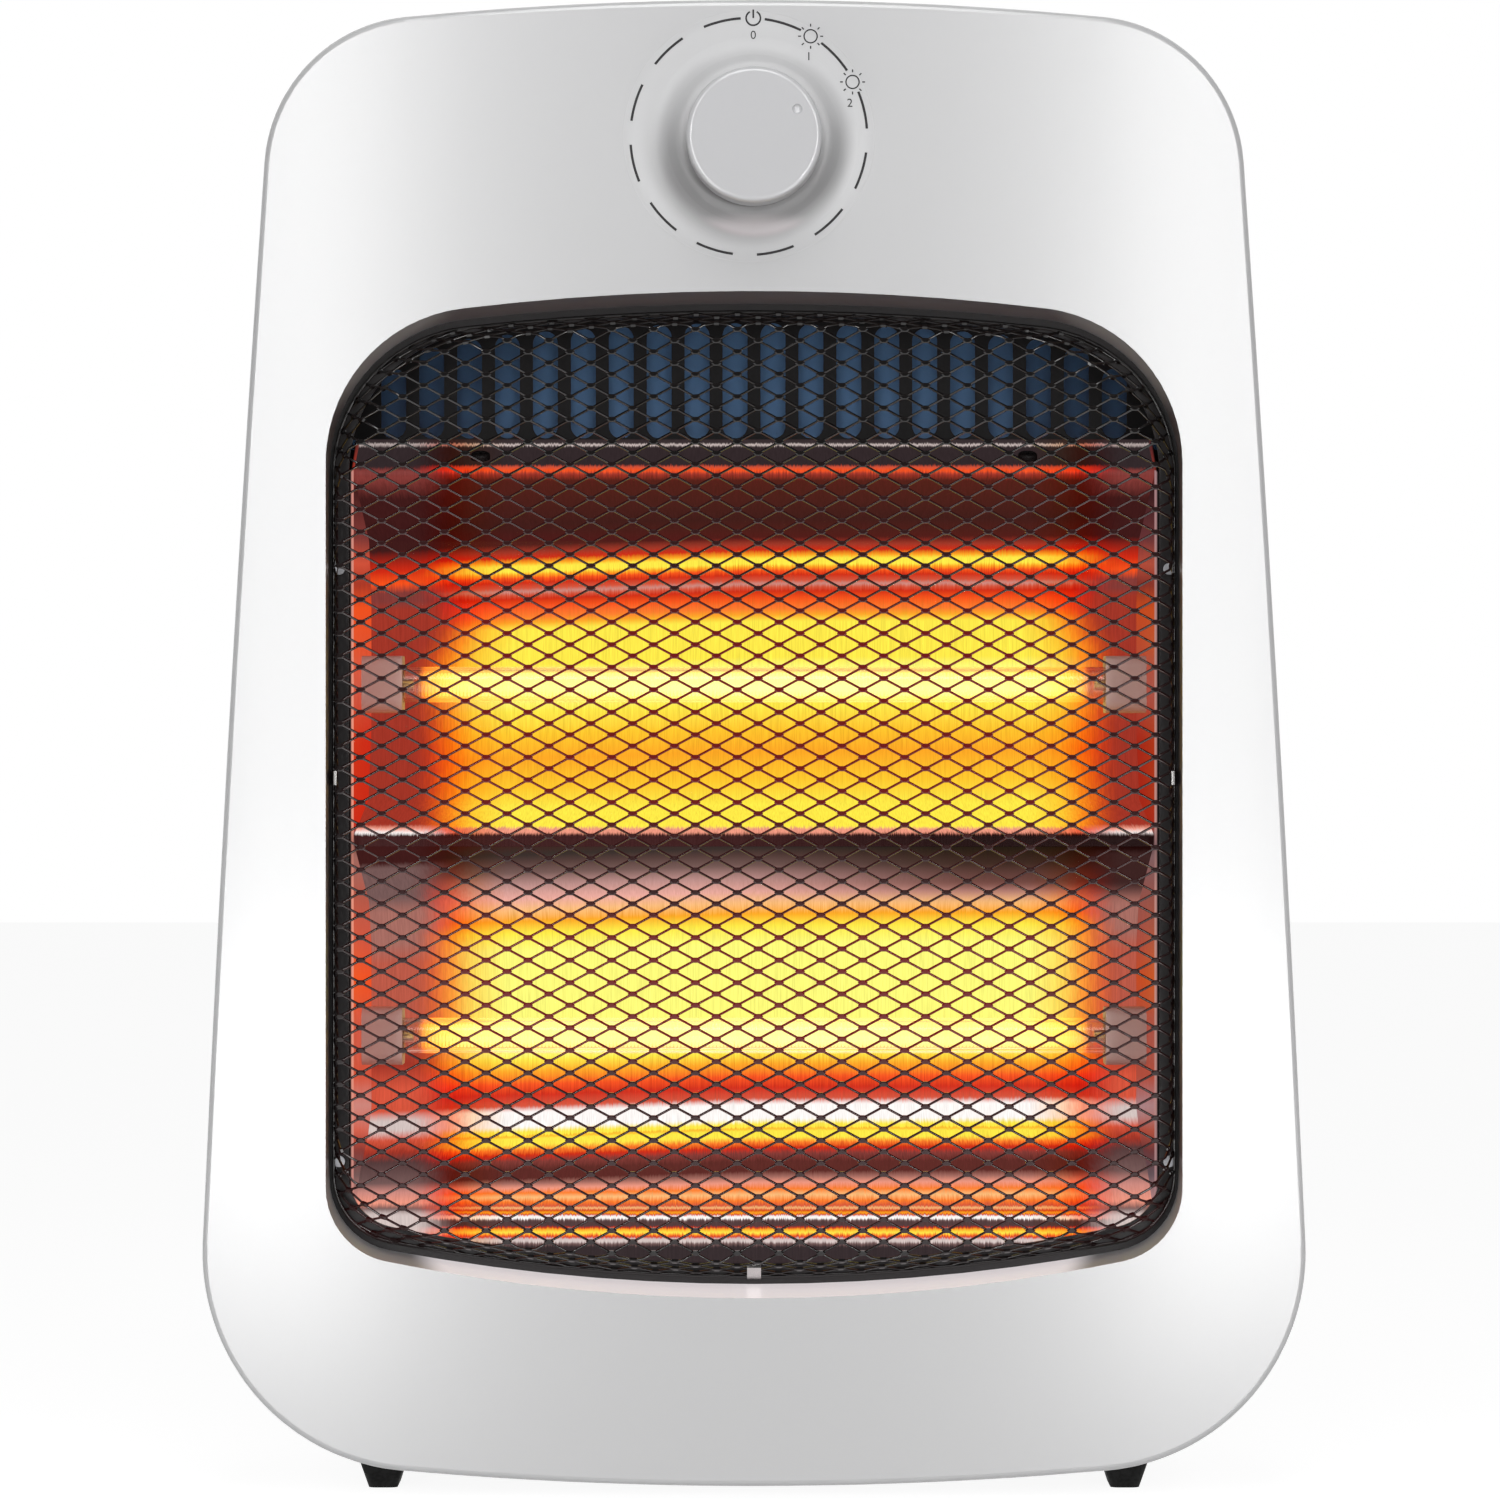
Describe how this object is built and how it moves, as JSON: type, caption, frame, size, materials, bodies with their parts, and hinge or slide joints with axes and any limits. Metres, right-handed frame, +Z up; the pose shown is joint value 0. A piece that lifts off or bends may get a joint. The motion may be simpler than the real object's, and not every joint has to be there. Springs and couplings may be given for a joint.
{
  "type": "quartz heater",
  "caption": "Portable radiant heater: quartz tubes in a bright reflector behind an expanded-metal guard, in a white panel with a round knob and a black rear casing.",
  "frame": {"origin": "middle of the heater's footprint, on the surface that it stands on", "axes": "+X to the heater's left hand side as it is seen from the front (to the viewer's right), +Y from the front to the back, +Z up"},
  "size_m": [0.2702, 0.1274, 0.3669],
  "materials": {
    "panel_white": "high gloss, moulded",
    "knob_grey": "satin gloss, moulded",
    "casing_black": "fine moulded grain",
    "foot_black": "dull",
    "guard_black": "satin black heat-proof paint",
    "frame_black": "satin black heat-proof paint",
    "reflector_bright": "bright, finely brushed upright",
    "side_bright": "bright rolled",
    "shield_zinc": "zinc-coated, dull blue-grey",
    "quartz": "clear",
    "coil_glow": "oxidised wire, glowing",
    "ceramic_cap": "unglazed",
    "brass": "bright",
    "screw_steel": "zinc-plated",
    "spring_steel": "bright",
    "yoke_steel": "zinc-plated",
    "switch_dark": "moulded thermoset",
    "switch_light": "moulded",
    "wire_brown": "insulation",
    "wire_black": "insulation",
    "wire_blue": "insulation",
    "wire_green": "insulation, green and yellow"
  },
  "bodies": {
    "heater": {"front_panel": "panel_white", "switch_yoke": "yoke_steel", "switch_body": "switch_dark", "switch_terminals": "brass", "switch_screws": "screw_steel", "guard_mesh": "guard_black", "guard_clips": "spring_steel", "inner_frame": "frame_black", "frame_screws": "screw_steel", "reflector_side_left": "side_bright", "reflector_side_right": "side_bright", "side_plate_screws": "screw_steel", "upper_reflector": "reflector_bright", "lower_reflector": "reflector_bright", "ledge_screws": "screw_steel", "vent_baffle": "frame_black", "baffle_screws": "screw_steel", "heat_shield": "shield_zinc", "shield_screws": "screw_steel", "upper_quartz_tube": "quartz", "lower_quartz_tube": "quartz", "upper_heating_coil": "coil_glow", "lower_heating_coil": "coil_glow", "upper_tube_terminals": "brass", "lower_tube_terminals": "brass", "upper_left_end_cap": "ceramic_cap", "upper_right_end_cap": "ceramic_cap", "lower_left_end_cap": "ceramic_cap", "lower_right_end_cap": "ceramic_cap", "cap_rings": "spring_steel", "rear_casing": "casing_black", "casing_screws": "screw_steel", "foot_front_left": "foot_black", "foot_front_right": "foot_black", "foot_rear_left": "foot_black", "foot_rear_right": "foot_black", "foot_screws": "screw_steel", "tip_switch_housing": "switch_dark", "tip_switch_cover": "switch_dark", "tip_switch_screws": "screw_steel", "tip_spring": "spring_steel", "tip_contacts": "brass", "terminal_block": "switch_light", "terminal_clamps": "brass", "block_screws": "screw_steel", "cord_gland": "foot_black", "cord_clamp": "casing_black", "clamp_screws": "screw_steel", "thermal_cutout": "switch_dark", "live_wires": "wire_brown", "load_wires": "wire_black", "neutral_wires": "wire_blue", "earth_wire": "wire_green"},
    "knob_body": {"knob": "knob_grey", "switch_shaft": "yoke_steel", "switch_rotor": "switch_light"},
    "plunger_body": {"tip_plunger": "switch_light", "tip_contact_bridge": "brass"}
  },
  "joints": [
    {"name": "knob_turn", "type": "hinge", "parent": "heater", "child": "knob_body", "pos_m": [0, -0.0637, 0.3326], "axis": [0, -1, 0], "range_deg": [0, 60]},
    {"name": "tip_plunger_slide", "type": "slide", "parent": "heater", "child": "plunger_body", "axis": [0, 0, -1], "range_m": [0, 0.006], "stiffness_N_per_m": 120, "springref_m": 0.008, "deforming": ["tip_spring"]}
  ]
}
